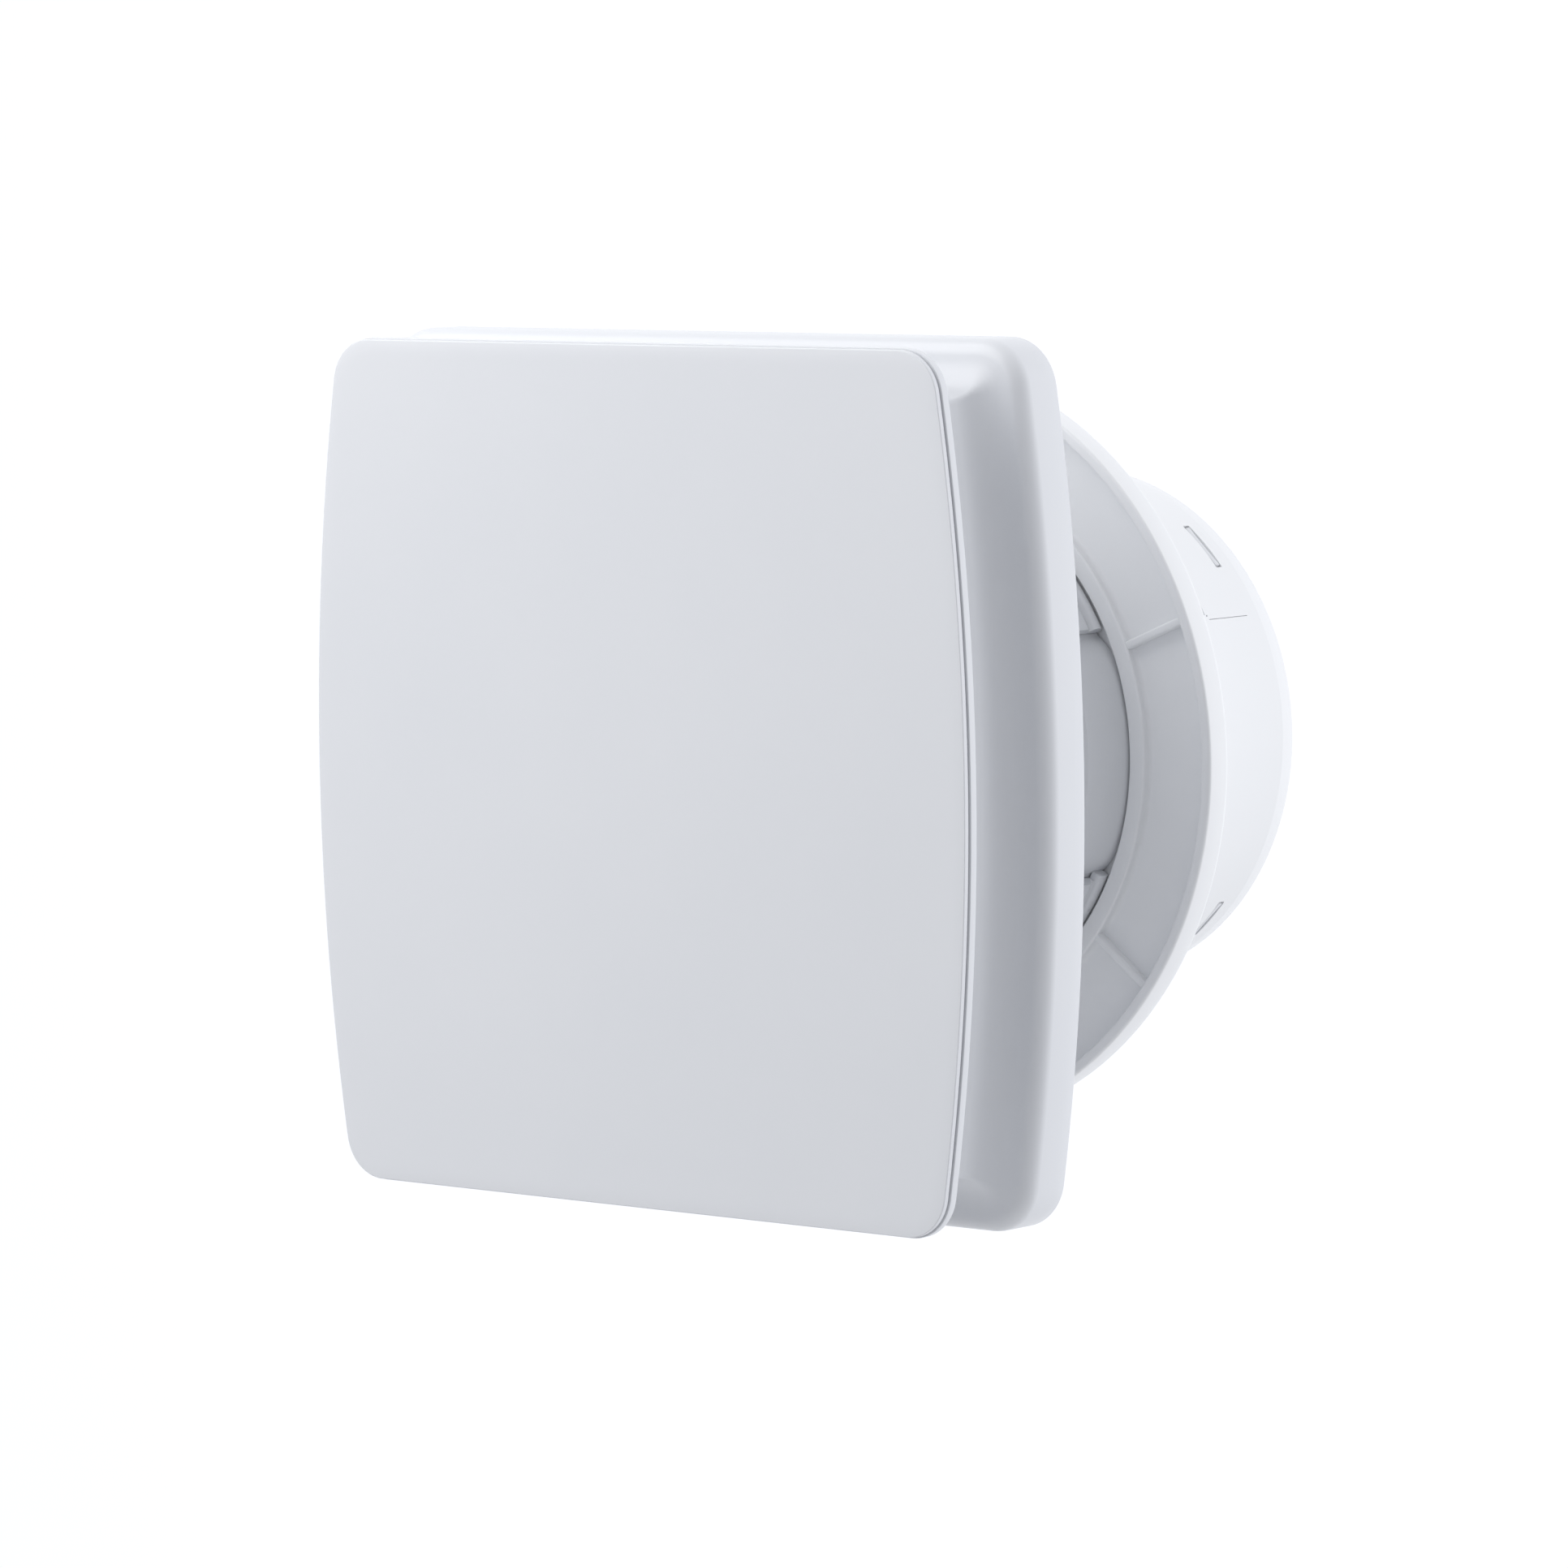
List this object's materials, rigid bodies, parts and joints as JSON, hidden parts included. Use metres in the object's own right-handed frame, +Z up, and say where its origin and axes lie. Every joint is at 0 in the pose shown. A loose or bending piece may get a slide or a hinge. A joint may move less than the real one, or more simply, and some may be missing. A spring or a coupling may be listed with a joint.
{
  "type": "extractor fan",
  "caption": "Wall-mounted bathroom extractor fan with a flat barrel-sided front panel, round fan tube, non-return shutter and stepped round duct adaptor.",
  "frame": {"origin": "where the duct axis meets the wall plane, which is the back face of the wall frame's rim", "axes": "+Z up, the front panel faces -Y, and the duct runs back along +Y"},
  "size_m": [0.163, 0.1357, 0.16],
  "materials": {
    "gloss_white": "smooth glossy moulded ABS",
    "satin_white": "satin moulded ABS",
    "grey_plastic": "fine moulded texture",
    "steel": "zinc-plated steel",
    "lamination": "stacked steel sheet",
    "copper": "enamelled copper wire, wound",
    "bronze": "sintered bronze",
    "brass": "turned brass"
  },
  "bodies": {
    "housing": {"front_frame": "gloss_white", "duct_adaptor": "gloss_white", "fan_tube": "satin_white", "tube_sleeve_upper": "satin_white", "tube_sleeve_lower": "satin_white", "shutter_sleeve": "satin_white", "motor_spider": "satin_white", "terminal_cover": "satin_white", "cable_clamp": "satin_white", "motor_end_cap": "grey_plastic", "terminal_block": "grey_plastic", "shutter_pin": "steel", "shutter_spring": "steel", "wall_screw_1": "steel", "wall_screw_2": "steel", "wall_screw_3": "steel", "wall_screw_4": "steel", "tube_screw_1": "steel", "tube_screw_2": "steel", "tube_screw_3": "steel", "motor_screw_1": "steel", "motor_screw_2": "steel", "clamp_screw_1": "steel", "clamp_screw_2": "steel", "stator_core": "lamination", "stator_coil_1": "copper", "stator_coil_2": "copper", "stator_coil_3": "copper", "stator_coil_4": "copper", "bearing_front": "bronze", "bearing_rear": "bronze", "terminal_screw_1": "brass", "terminal_screw_2": "brass", "terminal_screw_3": "brass"},
    "front_panel": {"panel_face": "gloss_white", "panel_carrier": "gloss_white"},
    "rotor_assembly": {"impeller": "grey_plastic", "impeller_cap": "grey_plastic", "motor_shaft": "steel", "rotor": "lamination"},
    "right_flap": {"flap_right": "satin_white"},
    "left_flap": {"flap_left": "satin_white"}
  },
  "joints": [
    {"name": "panel_pull", "type": "slide", "parent": "housing", "child": "front_panel", "axis": [0, -1, 0], "range_m": [0, 0.02]},
    {"name": "impeller_spin", "type": "hinge", "parent": "housing", "child": "rotor_assembly", "pos_m": [0, 0, 0], "axis": [0, 1, 0], "continuous": true},
    {"name": "flap_right_swing", "type": "hinge", "parent": "housing", "child": "right_flap", "pos_m": [0, 0.063, 0], "axis": [0, 0, 1], "range_deg": [0, 75], "stiffness_Nm_per_rad": 0.002, "springref_deg": -11.46},
    {"name": "flap_left_swing", "type": "hinge", "parent": "housing", "child": "left_flap", "pos_m": [0, 0.063, 0], "axis": [0, 0, -1], "range_deg": [0, 75], "stiffness_Nm_per_rad": 0.002, "springref_deg": -11.46}
  ]
}
